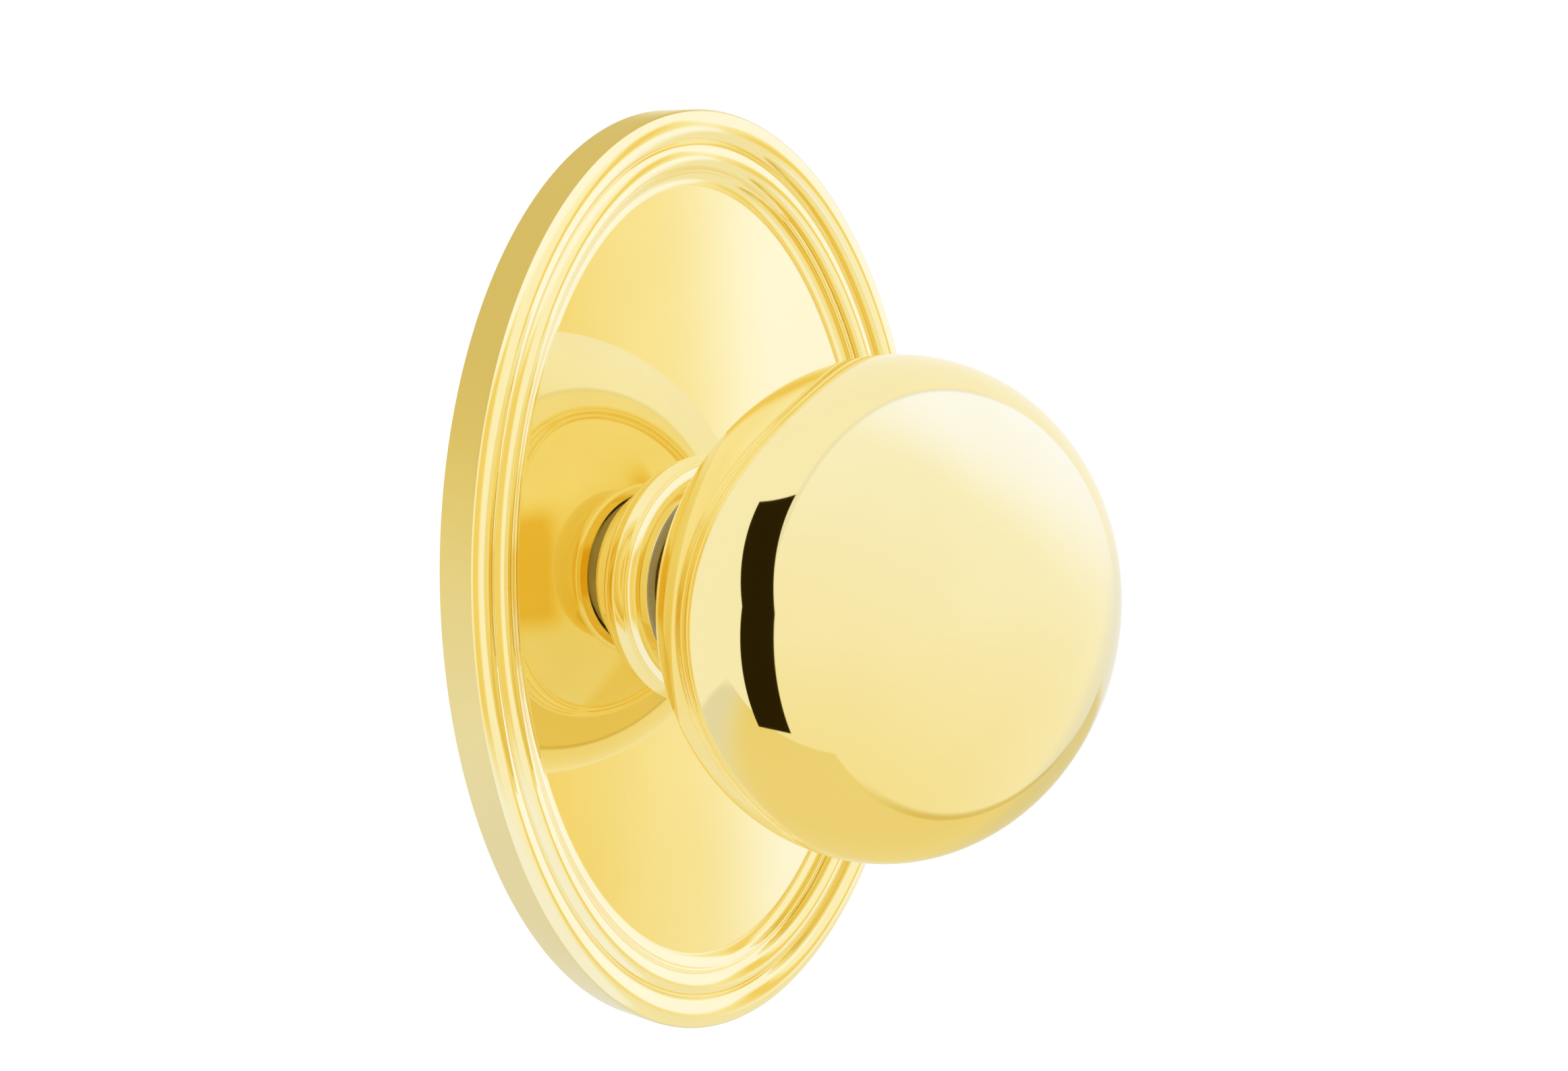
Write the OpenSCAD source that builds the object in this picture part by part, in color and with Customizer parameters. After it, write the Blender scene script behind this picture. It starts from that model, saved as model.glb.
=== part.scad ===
// Door knob on an oval moulded rosette: the outside half of a spring-return passage set.
// The door face is the plane Y = 0, the knob stands out towards -Y, +Z is up, and the origin is
// on the knob's axis. Each module works with its own +Z out of the door; on_door() turns it.

/* [Knob] */
// Diameter of the knob's ball
knob_d = 57.2; // [56:0.1:60]
// Distance from the door face to the ball's widest circle
knob_centre = 33.3; // [33:0.1:36]
// Depth of the ball in front of its widest circle
knob_front = 23.4; // [22:0.1:26]
// Depth of the ball behind its widest circle
knob_rear = 24.9; // [24:0.1:25.4]
// Sheet thickness of the two pressed halves of the ball
skin = 1.2; // [0.8:0.1:1.4]
// Radius of the neck behind the ball
neck_r = 11; // [10.6:0.1:11.6]
// How far the knob turns each way
turn_limit = 55; // [40:1:60]

/* [Rosette] */
// Radius of the oval's two long sides
side_r = 82.5; // [80:0.5:84]
// Radius of the four shoulders between the sides and the ends
shoulder_r = 47.5; // [46:0.5:49]
// Radius of the oval's two ends
end_r = 28; // [27:0.5:29]
// Distance from the door face to the flat inner panel
panel_out = 3; // [2.8:0.1:3.2]
// Thickness of the inner panel
panel_t = 1.5; // [1.2:0.1:1.5]
// Radius of the raised collar where it meets the panel
collar_r = 15.2; // [14.8:0.1:17]
// Distance from the door face to the collar's front
collar_out = 5.8; // [5.4:0.1:6]

/* [Through-door fixing] */
// Distance between the two threaded posts
post_spacing = 41.3; // [41:0.1:44]
// Distance that the posts reach behind the door face
post_len = 24; // [16:1:26]
// Tap-drill radius of the posts' threads
post_thread_r = 1.72; // [1.6:0.01:1.8]
// Distance that the square spindle reaches behind the door face
spindle_len = 29; // [24:1:32]
// Width of the square spindle
spindle_w = 8; // [7.8:0.1:8.2]

/* [Hidden] */
$fn = 72;
eps = 0.01;
gap = 0.05;             // running and assembly clearance

// The oval is eight arcs: two sides, two ends and four shoulders. The shoulders start and end in
// these directions, both from 3-4-5 triangles, so the arcs' centres are round numbers.
shoulder_start = [0.936, 0.352];
shoulder_end = [0.6, 0.8];
half_w = (1 - shoulder_start.x) * side_r + (shoulder_start.x - shoulder_end.x) * shoulder_r
       + shoulder_end.x * end_r;
side_c = [half_w - side_r, 0];
shoulder_c = side_c + (side_r - shoulder_r) * shoulder_start;
end_c = shoulder_c + (shoulder_r - end_r) * shoulder_end;
side_angle = atan2(shoulder_start.y, shoulder_start.x);
end_angle = atan2(shoulder_end.y, shoulder_end.x);

// Moulding, given as [inset from the plate's edge, distance from the door face] and radius.
bead_c = [1.7, 3.8];
bead_r = 2.3;
inner_bead_c = [5.15, 3.55];
inner_bead_r = 1.88;
cove_r = 1.9;
cove_step = 0.2;        // small step from the cove down to the panel
rim_w = 8.7;
rim_base = 4.15;
rim_wall = 1.6;
rim_hollow = 6.6;
rim_hollow_out = 3.4;
flange_w = 20;          // how far each arc's share of the panel reaches inwards
fill_w = 12;            // inset of the slab that fills the middle of the panel
plate_back = panel_out - panel_t;
screw_inset = 4.2;
screw_r = 1.25;
screw_head_r = 2.4;
screw_head_t = 1.2;
screw_tip = 3.7;
boss_r = 2.8;
plate_edge = rim_wall + 0.2;
seat_r = 24.5;          // shallow recess in the mounting plate's back, under the posts and housing
seat_t = 0.2;

collar_bore_r = 12.2;
collar_spigot_r = 13.4;
collar_round = 1.45;
collar_draft = 0.5;     // how much the collar's side leans in
bush_r = 11.85;
bush_front = 4.2;
bush_flange_r = 13.2;
bush_flange_t = 0.8;
journal_r = 9.5;
journal_back = -3.6;
shoulder_out = 4.8;     // neck's rear shoulder
neck_top = 10.2;        // neck's front shoulder, against the rear half of the ball
spigot_r = 8;
spigot_top = 22.5;
square_hole = spindle_w + 2 * gap;
groove_r = 8.7;
clip_t = 1;
clip_r = 11.8;
washer_t = 0.5;
washer_r = 12.8;
clip_front = -bush_flange_t - washer_t - 2 * gap;
clip_gap_angle = 40;
pin_r = 1.25;
pin_out = 2;
core_r = 15;
core_top = 15.5;
lock_t = 1.5;
nut_af = 22;
nut_t = 4.8;
seam_half = 3;
seam_t = 1.2;
spindle_top = 20;

housing_r = 15.5;
housing_wall = 1.6;
housing_len = 13.6;
housing_in = housing_r - housing_wall;
ear_x = 18.7;
ear_r = 3.5;
ear_t = 2;
ear_screw_r = 1.5;
ear_head_r = 2.7;
ear_head_t = 1.8;
rear_bush_r = 8.5;
rear_flange_r = 9.8;
rear_flange_t = 0.6;
hub_r = 6.9;
cam_front = -4.2;
cam_t = 1.8;
cam_r = 8.8;
hub_back = -14.4;
finger_w = 2.4;
finger_in = 10.2;
finger_out = 12.4;
finger_back = -11.6;
stop_in = 11.6;
stop_angle = turn_limit + 2 * asin(finger_w / 2 / stop_in) + 0.5;
anchor_in = 12.8;

wire_r = 0.7;
coil_r = 8.6;
coil_turns = 2;
coil_front = -7.1;
coil_pitch = 1.9;
leg_x = finger_w / 2 + wire_r + gap;
leg_r = 13.4;
wire_sides = 8;
steps_per_turn = 24;

module on_door() rotate([90, 0, 0]) children();

// ---- oval -------------------------------------------------------------------

// Point on the oval at an inset, in the direction that an arc's angle gives (0 to 90 degrees).
function oval_point(angle, inset) = let (along = [cos(angle), sin(angle)])
    angle < side_angle ? side_c + (side_r - inset) * along
    : angle < end_angle ? shoulder_c + (shoulder_r - inset) * along
    : end_c + (end_r - inset) * along;

function quarter(inset, step) = [for (t = [0 : step : 90]) oval_point(t, inset)];

// Whole outline from the four mirrored quarters, without repeating the points on the axes.
function oval_outline(inset, step) = let (q = quarter(inset, step), n = len(q))
    concat(q,
           [for (i = [n - 2 : -1 : 0]) [-q[i].x, q[i].y]],
           [for (i = [1 : n - 1]) -q[i]],
           [for (i = [n - 2 : -1 : 1]) [q[i].x, -q[i].y]]);

// Revolves a section about one arc's centre, and keeps the sector between two directions.
module arc_sweep(centre, r, from_dir, to_dir) translate(centre) intersection() {
    rotate_extrude() translate([r, 0]) children();
    translate([0, 0, -r]) linear_extrude(2 * r) polygon([[0, 0], 1.5 * r * from_dir, 1.5 * r * to_dir]);
}

// Sweeps a section round the oval. The section's X is 0 at the plate's edge and negative inside.
module oval_sweep() {
    for (s = [-1, 1]) {
        arc_sweep(s * side_c, side_r, s * [shoulder_start.x, -shoulder_start.y], s * shoulder_start)
            children();
        arc_sweep(s * end_c, end_r, s * shoulder_end, s * [-shoulder_end.x, shoulder_end.y]) children();
        for (m = [-1, 1]) {
            arc_sweep([s * shoulder_c.x, m * shoulder_c.y], shoulder_r,
                      [s * shoulder_start.x, m * shoulder_start.y],
                      [s * shoulder_end.x, m * shoulder_end.y]) children();
        }
    }
}

// Flat oval slab with true arcs round its edge.
module oval_slab(inset, t) {
    oval_sweep() translate([-flange_w, 0]) square([flange_w - inset, t]);
    linear_extrude(t) polygon(oval_outline(fill_w, 5));
}

module screw_places() {
    place = oval_point((side_angle + end_angle) / 2, screw_inset);
    for (sx = [-1, 1], sy = [-1, 1]) translate([sx * place.x, sy * place.y, 0]) children();
}

// ---- rosette ----------------------------------------------------------------

module moulding_section() difference() {
    union() {
        translate([-rim_w, 0]) square([rim_w, rim_base]);
        intersection() {
            translate([-bead_c.x, bead_c.y]) circle(bead_r);
            translate([-rim_w, 0]) square([rim_w, 2 * rim_w]);
        }
        translate([-inner_bead_c.x, inner_bead_c.y]) circle(inner_bead_r);
        translate([-flange_w, plate_back]) square([flange_w - rim_w + eps, panel_t]);
    }
    translate([-rim_w, panel_out + cove_step + cove_r]) circle(cove_r);
    translate([-rim_hollow, -1]) square([rim_hollow - rim_wall, rim_hollow_out + 1]);
    translate([-rim_w - 1, -1]) square([rim_w + 1 - rim_wall, plate_back + 1]);
}

module rosette_plate() color("gold") on_door() difference() {
    union() {
        oval_sweep() moulding_section();
        translate([0, 0, plate_back]) linear_extrude(panel_t) polygon(oval_outline(fill_w, 5));
        screw_places() translate([0, 0, plate_back]) cylinder(r = boss_r, h = screw_tip - plate_back);
    }
    cylinder(r = collar_spigot_r, h = 10);
    screw_places() cylinder(r = screw_r, h = screw_tip);
}

module rosette_collar() color("gold") on_door() rotate_extrude() union() {
    polygon([[collar_bore_r, plate_back], [collar_spigot_r - gap, plate_back],
             [collar_spigot_r - gap, panel_out], [collar_r, panel_out],
             [collar_r - collar_draft, collar_out - collar_round],
             [collar_bore_r, collar_out - collar_round]]);
    intersection() {
        translate([collar_r - collar_draft - collar_round, collar_out - collar_round]) circle(collar_round);
        translate([collar_bore_r, collar_out - collar_round]) square(10);
    }
}

module neck_bush() color("ivory") on_door() difference() {
    union() {
        translate([0, 0, -bush_flange_t]) cylinder(r = bush_r, h = bush_front + bush_flange_t);
        translate([0, 0, -bush_flange_t]) cylinder(r = bush_flange_r, h = bush_flange_t + seat_t);
    }
    translate([0, 0, -5]) cylinder(r = journal_r + gap, h = 15);
}

module mounting_plate() color("silver") on_door() difference() {
    oval_slab(plate_edge, plate_back);
    translate([0, 0, -1]) cylinder(r = seat_r, h = 1 + seat_t);
    translate([0, 0, -1]) cylinder(r = bush_r + gap, h = 5);
    screw_places() {
        translate([0, 0, -eps]) cylinder(r1 = screw_head_r, r2 = screw_r, h = screw_head_t);
        cylinder(r = screw_r + gap, h = 5);
    }
    for (s = [-1, 1]) {
        translate([0, s * post_spacing / 2, -1]) cylinder(r = 2.5, h = 5);
        translate([s * ear_x, 0, -1]) cylinder(r = ear_screw_r, h = 5);
    }
}

module plate_screws() color("silver") on_door() screw_places() {
    cylinder(r1 = screw_head_r - gap, r2 = screw_r, h = screw_head_t);
    cylinder(r = screw_r - gap / 2, h = screw_tip - 0.2);
}

module post(side) color("silver") on_door() translate([0, side * post_spacing / 2, 0]) difference() {
    union() {
        translate([0, 0, -post_len]) cylinder(r = 3.2, h = post_len + seat_t);
        cylinder(r = 2.45, h = plate_back);
    }
    translate([0, 0, -post_len - 1]) cylinder(r = post_thread_r, h = 15);
}

module upper_post() post(1);
module lower_post() post(-1);

// ---- spring housing ---------------------------------------------------------

module wall_rib(angle, from_r, w, front, back) rotate(angle) intersection() {
    translate([-w / 2, from_r, back]) cube([w, housing_r - from_r, front - back]);
    translate([0, 0, back]) cylinder(r = housing_r - housing_wall / 2, h = front - back);
}

module spring_housing() color("lightgray") on_door() {
    difference() {
        union() {
            translate([0, 0, -housing_len]) cylinder(r = housing_r, h = housing_len + seat_t);
            for (s = [-1, 1]) {
                translate([s * ear_x, 0, -ear_t]) cylinder(r = ear_r, h = ear_t + seat_t);
            }
        }
        translate([0, 0, housing_wall - housing_len]) cylinder(r = housing_in, h = housing_len);
        translate([0, 0, -housing_len - 1]) cylinder(r = rear_bush_r, h = 5);
        for (s = [-1, 1]) {
            translate([s * ear_x, 0, -5]) cylinder(r = ear_screw_r + gap, h = 6);
        }
    }
    wall_rib(0, anchor_in, finger_w, cam_front - cam_t - 0.4, finger_back);
    for (s = [-1, 1]) {
        wall_rib(s * stop_angle, stop_in, finger_w, cam_front, cam_front - cam_t);
    }
}

module housing_screws() color("silver") on_door() for (s = [-1, 1]) translate([s * ear_x, 0, 0]) {
    translate([0, 0, -ear_t]) cylinder(r = ear_screw_r - gap / 2, h = ear_t + plate_back);
    translate([0, 0, -ear_t - ear_head_t]) cylinder(r = ear_head_r, h = ear_head_t);
}

module rear_bush() color("ivory") on_door() difference() {
    union() {
        translate([0, 0, -housing_len]) cylinder(r = rear_bush_r - gap, h = housing_wall);
        translate([0, 0, -housing_len - rear_flange_t]) cylinder(r = rear_flange_r, h = rear_flange_t);
    }
    translate([0, 0, -housing_len - 1]) cylinder(r = hub_r + gap, h = 5);
}

// Wire path: down one leg, round the coil and up the other leg.
leg_angle = asin(leg_x / coil_r);
coil_sweep = 360 * coil_turns + 2 * leg_angle;
coil_steps = ceil(coil_sweep / 360 * steps_per_turn);
function coil_point(i) = let (t = 90 + leg_angle - coil_sweep * i / coil_steps)
    [coil_r * cos(t), coil_r * sin(t), coil_front - coil_pitch * coil_sweep / 360 * i / coil_steps];
wire_path = concat([[-leg_x, leg_r, coil_front]],
                   [for (i = [0 : coil_steps]) coil_point(i)],
                   [[leg_x, leg_r, coil_point(coil_steps).z]]);

function unit(v) = v / norm(v);
function tangent(p, i) = unit(p[min(i + 1, len(p) - 1)] - p[max(i - 1, 0)]);
function wire_ring(p, i) = let (t = tangent(p, i), u = unit(cross([0, 0, 1], t)), v = cross(t, u))
    [for (k = [0 : wire_sides - 1]) let (a = 360 * k / wire_sides)
        p[i] + wire_r * (cos(a) * u + sin(a) * v)];

module return_spring() color("gray") on_door() {
    n = len(wire_path);
    points = [for (i = [0 : n - 1]) each wire_ring(wire_path, i)];
    quads = [for (i = [0 : n - 2], k = [0 : wire_sides - 1]) let (j = (k + 1) % wire_sides)
        each [[i * wire_sides + k, (i + 1) * wire_sides + k, (i + 1) * wire_sides + j],
              [i * wire_sides + k, (i + 1) * wire_sides + j, i * wire_sides + j]]];
    caps = [[for (k = [0 : wire_sides - 1]) k],
            [for (k = [wire_sides - 1 : -1 : 0]) (n - 1) * wire_sides + k]];
    polyhedron(points, concat(quads, caps));
}

// ---- knob -------------------------------------------------------------------

// Half of the ball, or of a smaller one inside it, on the front or the rear side.
module half_ball(inset, depth, side) {
    r = knob_d / 2 - inset;
    translate([0, 0, knob_centre]) intersection() {
        scale([1, 1, (depth - inset) / r]) sphere(r);
        translate([-knob_d, -knob_d, side > 0 ? 0 : -knob_d]) cube([2 * knob_d, 2 * knob_d, knob_d]);
    }
}

module knob_front_shell() color("gold") on_door() difference() {
    half_ball(0, knob_front, 1);
    translate([0, 0, -eps]) half_ball(skin, knob_front, 1);
}

module knob_rear_shell() color("gold") on_door() difference() {
    half_ball(0, knob_rear, -1);
    translate([0, 0, eps]) half_ball(skin, knob_rear, -1);
    cylinder(r = knob_d, h = neck_top);
    cylinder(r = spigot_r + gap, h = knob_centre);
}

module seam_ring() color("gold") on_door() difference() {
    intersection() {
        union() {
            half_ball(skin + gap, knob_front, 1);
            half_ball(skin + gap, knob_rear, -1);
        }
        translate([0, 0, knob_centre - seam_half]) cylinder(r = knob_d, h = 2 * seam_half);
    }
    cylinder(r = knob_d / 2 - skin - seam_t, h = 2 * knob_centre);
}

module knob_core() color("lightgray") on_door() difference() {
    intersection() {
        half_ball(skin + gap, knob_rear, -1);
        cylinder(r = core_r, h = core_top);
    }
    cylinder(r = spigot_r + gap, h = knob_centre);
}

module lock_washer() color("silver") on_door() translate([0, 0, core_top]) difference() {
    cylinder(r = nut_af / 2 - 0.5, h = lock_t);
    translate([0, 0, -1]) cylinder(r = spigot_r + gap, h = 4);
}

module shank_nut() color("silver") on_door() translate([0, 0, core_top + lock_t]) difference() {
    cylinder(r = nut_af / 2 / cos(30), h = nut_t, $fn = 6);
    translate([0, 0, -1]) cylinder(r = spigot_r, h = 8);
}

module knob_shank() color("gold") on_door() difference() {
    union() {
        translate([0, 0, journal_back]) cylinder(r = journal_r, h = shoulder_out - journal_back);
        translate([0, 0, shoulder_out]) cylinder(r = neck_r, h = neck_top - shoulder_out);
        translate([0, 0, neck_top]) cylinder(r = spigot_r, h = spigot_top - neck_top);
    }
    translate([-square_hole / 2, -square_hole / 2, -10]) cube([square_hole, square_hole, 50]);
    translate([0, 0, pin_out]) rotate([0, 90, 0]) cylinder(r = pin_r, h = 40, center = true);
    translate([0, 0, clip_front - clip_t - gap]) difference() {
        cylinder(r = knob_d, h = clip_t + 2 * gap);
        translate([0, 0, -1]) cylinder(r = groove_r, h = 5);
    }
}

module thrust_washer() color("ivory") on_door() translate([0, 0, bush_front + gap]) difference() {
    cylinder(r = collar_bore_r - 0.2, h = shoulder_out - bush_front - gap);
    translate([0, 0, -1]) cylinder(r = journal_r + gap, h = 3);
}

module play_washer() color("silver") on_door()
    translate([0, 0, -bush_flange_t - washer_t - gap]) difference() {
        cylinder(r = washer_r, h = washer_t);
        translate([0, 0, -1]) cylinder(r = journal_r + gap, h = 3);
    }

module retaining_ring() color("silver") on_door() translate([0, 0, clip_front - clip_t])
    rotate(-90 + clip_gap_angle / 2) rotate_extrude(angle = 360 - clip_gap_angle)
        translate([groove_r + gap, 0]) square([clip_r - groove_r - gap, clip_t]);

module spindle() color("silver") on_door() difference() {
    intersection() {
        translate([-spindle_w / 2, -spindle_w / 2, -spindle_len])
            cube([spindle_w, spindle_w, spindle_len + spindle_top]);
        translate([0, 0, -spindle_len]) cylinder(r = spindle_w * 0.68, h = spindle_len + spindle_top);
    }
    translate([0, 0, pin_out]) rotate([0, 90, 0]) cylinder(r = pin_r, h = 40, center = true);
}

module spindle_pin() color("silver") on_door() translate([0, 0, pin_out]) rotate([0, 90, 0])
    cylinder(r = pin_r - gap / 2, h = 2 * journal_r - 0.6, center = true);

module drive_cam() color("silver") on_door() difference() {
    union() {
        translate([0, 0, hub_back]) cylinder(r = hub_r, h = cam_front - hub_back);
        translate([0, 0, cam_front - cam_t]) cylinder(r = cam_r, h = cam_t);
        translate([-finger_w / 2, 0, cam_front - cam_t]) cube([finger_w, finger_out, cam_t]);
        translate([-finger_w / 2, finger_in, finger_back])
            cube([finger_w, finger_out - finger_in, cam_front - finger_back]);
    }
    translate([-square_hole / 2, -square_hole / 2, -20]) cube([square_hole, square_hole, 30]);
}

rosette_plate();
rosette_collar();
neck_bush();
mounting_plate();
plate_screws();
upper_post();
lower_post();
spring_housing();
housing_screws();
rear_bush();
return_spring();
knob_front_shell();
knob_rear_shell();
seam_ring();
knob_core();
lock_washer();
shank_nut();
knob_shank();
thrust_washer();
play_washer();
retaining_ring();
spindle();
spindle_pin();
drive_cam();
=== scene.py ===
"""Door knob on an oval moulded rosette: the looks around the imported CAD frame.

Profiles are lists of (radius or inset, out) in millimetres, where out is the distance from the
door face towards the room (-Y). place() turns them into metres in the shared frame.
"""

import math

import bmesh
import bpy
from mathutils import Matrix, Vector


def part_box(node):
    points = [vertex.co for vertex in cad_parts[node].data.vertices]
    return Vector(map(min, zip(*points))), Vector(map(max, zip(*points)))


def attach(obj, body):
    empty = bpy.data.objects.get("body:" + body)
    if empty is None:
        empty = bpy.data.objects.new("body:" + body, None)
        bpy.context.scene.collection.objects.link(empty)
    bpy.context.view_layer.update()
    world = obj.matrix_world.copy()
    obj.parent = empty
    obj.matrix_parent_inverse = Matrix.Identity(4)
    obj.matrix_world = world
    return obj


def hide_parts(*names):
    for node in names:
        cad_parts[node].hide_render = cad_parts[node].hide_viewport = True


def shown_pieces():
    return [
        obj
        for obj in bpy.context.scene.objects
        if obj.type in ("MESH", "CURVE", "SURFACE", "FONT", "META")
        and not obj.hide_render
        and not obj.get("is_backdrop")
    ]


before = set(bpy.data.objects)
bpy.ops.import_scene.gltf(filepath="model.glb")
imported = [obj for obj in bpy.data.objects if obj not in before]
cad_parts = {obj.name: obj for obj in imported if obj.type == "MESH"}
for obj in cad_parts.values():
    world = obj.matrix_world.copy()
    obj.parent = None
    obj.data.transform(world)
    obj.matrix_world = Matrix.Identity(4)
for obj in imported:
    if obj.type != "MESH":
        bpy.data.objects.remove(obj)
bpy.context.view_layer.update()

MM = 0.001
TURNS = 256              # steps round a turned piece
FINE = 0.02              # reach of a support ring beside a seam or a flat, mm
SHARP = math.radians(38)


def corners_mm(node):
    """Lowest and highest corner of a CAD node as (x, out, z) in millimetres."""
    low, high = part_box(node)
    return (low.x / MM, -high.y / MM, low.z / MM), (high.x / MM, -low.y / MM, high.z / MM)


# ---- sizes, from the frame ------------------------------------------------------------------

half_w, _, half_h = corners_mm("rosette_plate")[1]
front_low, front_high = corners_mm("knob_front_shell")
ball_r, ball_mid, ball_tip = front_high[0], front_low[1], front_high[1]
neck_top = corners_mm("knob_rear_shell")[0][1]
collar_r, collar_top, _ = corners_mm("rosette_collar")[1]
steel_high = corners_mm("mounting_plate")[1]
housing_low, housing_high = corners_mm("spring_housing")
bush_low, bush_high = corners_mm("rear_bush")
post_low, post_high = corners_mm("upper_post")
ear_screw_low, ear_screw_high = corners_mm("housing_screws")
plate_screw_low, plate_screw_high = corners_mm("plate_screws")
shank_low, shank_high = corners_mm("knob_shank")
spindle_low, spindle_high = corners_mm("spindle")

skin = 1.2
ball_rear_depth = 24.9   # depth of the ball behind its widest circle, before the neck cuts it
panel_out = 3.0
panel_back = 1.5
bead = (1.7, 3.8, 2.3)           # outer bead of the moulding: inset, out, radius
inner_bead = (5.15, 3.55, 1.88)
cove = (8.7, 5.1, 1.9)
rim_wall = 1.6
collar_hole_r = 13.4
collar_bore_r = 12.2
collar_round = 1.45
collar_draft = 0.5
neck_r = 11.0
neck_shoulder = 4.8


# ---- paths and meshes -----------------------------------------------------------------------

def place(x, out, z):
    return Vector((x * MM, -out * MM, z * MM))


def arc(u, v, r, start, end, steps):
    """Points of a circle about (u, v), from one angle to another in degrees."""
    angles = [math.radians(start + (end - start) * i / steps) for i in range(steps + 1)]
    return [(u + r * math.cos(a), v + r * math.sin(a)) for a in angles]


def towards(a, b, reach):
    """Point at a distance from a on the way to b."""
    share = reach / math.dist(a, b)
    return (a[0] + (b[0] - a[0]) * share, a[1] + (b[1] - a[1]) * share)


def shorten(path, reach):
    """The path without its last stretch, reach long."""
    end = path[-1]
    kept = [p for p in path if math.dist(p, end) > reach * 1.05]
    return kept + [towards(end, kept[-1], reach)]


def join_round(parts, reach, steps=5):
    """One path from parts that meet end to start, with each meeting corner rounded."""
    path = list(parts[0])
    for part in parts[1:]:
        corner = part[0]
        path = shorten(path, reach)
        rest = shorten(part[::-1], reach)[::-1]
        a, b = path[-1], rest[0]
        for i in range(1, steps):
            t = i / steps
            path.append(tuple((1 - t) ** 2 * a[k] + 2 * t * (1 - t) * corner[k] + t * t * b[k]
                              for k in (0, 1)))
        path += rest
    return path


def line(*points):
    """A straight path with a support point close to each of its ends."""
    path = [points[0]]
    for a, b in zip(points, points[1:]):
        near = min(0.25, math.dist(a, b) / 4)
        path += [towards(a, b, near), towards(b, a, near), b]
    return path


def mesh_object(name, bm, sharp=SHARP):
    """Turns a bmesh into a smooth-shaded object with its hard edges kept."""
    bmesh.ops.recalc_face_normals(bm, faces=bm.faces)
    mesh = bpy.data.meshes.new(name)
    bm.to_mesh(mesh)
    bm.free()
    mesh.polygons.foreach_set("use_smooth", [True] * len(mesh.polygons))
    mesh.set_sharp_from_angle(angle=sharp)
    obj = bpy.data.objects.new(name, mesh)
    bpy.context.scene.collection.objects.link(obj)
    return obj


def skin_rings(bm, rings, closed):
    """Faces between neighbouring rings of vertices. A ring of one vertex is a pole."""
    following = rings[1:] + rings[:1] if closed else rings[1:]
    for a, b in zip(rings, following):
        count = max(len(a), len(b))
        for k in range(count):
            j = (k + 1) % count
            corner = [a[k % len(a)], a[j % len(a)], b[j % len(b)], b[k % len(b)]]
            face = [v for i, v in enumerate(corner) if v not in corner[:i]]
            if len(face) > 2:
                bm.faces.new(face)


def add_turned(bm, profile, centre=(0, 0), turns=TURNS):
    """Turns a profile of (radius, out) about an axis out of the door."""
    rings = []
    for r, out in profile:
        if r < 1e-4:
            rings.append([bm.verts.new(place(centre[0], out, centre[1]))])
            continue
        angles = [math.tau * k / turns for k in range(turns)]
        rings.append([bm.verts.new(place(centre[0] + r * math.cos(a), out,
                                         centre[1] + r * math.sin(a))) for a in angles])
    skin_rings(bm, rings, closed=len(rings[0]) > 1)


def turned(name, profile, centre=(0, 0), turns=TURNS):
    bm = bmesh.new()
    add_turned(bm, profile, centre, turns)
    return mesh_object(name, bm)


def circle(x, z, r, steps=96):
    return [(x + r * math.cos(math.tau * k / steps), z + r * math.sin(math.tau * k / steps))
            for k in range(steps)]


def add_sheet(bm, outline, holes, out_low, out_high, edge):
    """Adds a flat sheet with holes, between two distances from the door, with softened edges."""
    curve = bpy.data.curves.new("outline", "CURVE")
    curve.dimensions = "2D"
    curve.fill_mode = "BOTH"
    curve.extrude = (out_high - out_low) / 2 - edge
    curve.bevel_depth = edge
    curve.bevel_resolution = 2
    curve.offset = -edge
    for loop in [outline, *holes]:
        spline = curve.splines.new("POLY")
        spline.points.add(len(loop) - 1)
        for point, (x, z) in zip(spline.points, loop):
            point.co = (x, z, 0, 1)
        spline.use_cyclic_u = True
    holder = bpy.data.objects.new("outline", curve)
    mesh = bpy.data.meshes.new_from_object(holder)
    turn = Matrix.Rotation(math.pi / 2, 4, "X")
    lift = Matrix.Translation((0, -(out_low + out_high) / 2 * MM, 0))
    mesh.transform(lift @ turn @ Matrix.Scale(MM, 4))
    bm.from_mesh(mesh)
    bpy.data.meshes.remove(mesh)
    bpy.data.objects.remove(holder)
    bpy.data.curves.remove(curve)


# ---- rosette --------------------------------------------------------------------------------

def oval_point(t, inset):
    """Point of the oval at an inset from its edge, where the edge faces the direction t."""
    c, s = math.cos(t), math.sin(t)
    reach = math.hypot(half_w * c, half_h * s)
    return (half_w ** 2 * c / reach - inset * c, half_h ** 2 * s / reach - inset * s)


def moulding_path():
    """Front of the moulding from the panel's edge outwards, then the side wall down to the door."""
    base = panel_out + 1.15
    cove_start = (cove[0], cove[1] - cove[2])
    cove_end = math.degrees(math.asin((base - cove[1]) / cove[2]))
    inner_start = math.degrees(math.asin((base - inner_bead[1]) / inner_bead[2]))
    quirk = (3.76, 4.82)
    quirk_inner = math.degrees(math.atan2(quirk[1] - inner_bead[1], quirk[0] - inner_bead[0]))
    quirk_outer = math.degrees(math.atan2(quirk[1] - bead[1], quirk[0] - bead[0]))
    edge_angle = 180 - math.degrees(math.acos(bead[0] / bead[2]))
    parts = [
        line((cove[0] + 1.2, panel_out), (cove[0], panel_out)),
        [(cove[0], panel_out), (cove[0] - 0.02, panel_out + 0.1), cove_start],
        arc(*cove, -90, -180 - cove_end, 16),
        arc(*inner_bead, inner_start, quirk_inner, 26),
        arc(*bead, quirk_outer, edge_angle, 40),
        line((0, arc(*bead, edge_angle, edge_angle, 1)[0][1]), (0, 0)),
    ]
    return join_round([join_round(parts[:-1], 0.09), parts[-1]], 0.38)


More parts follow.
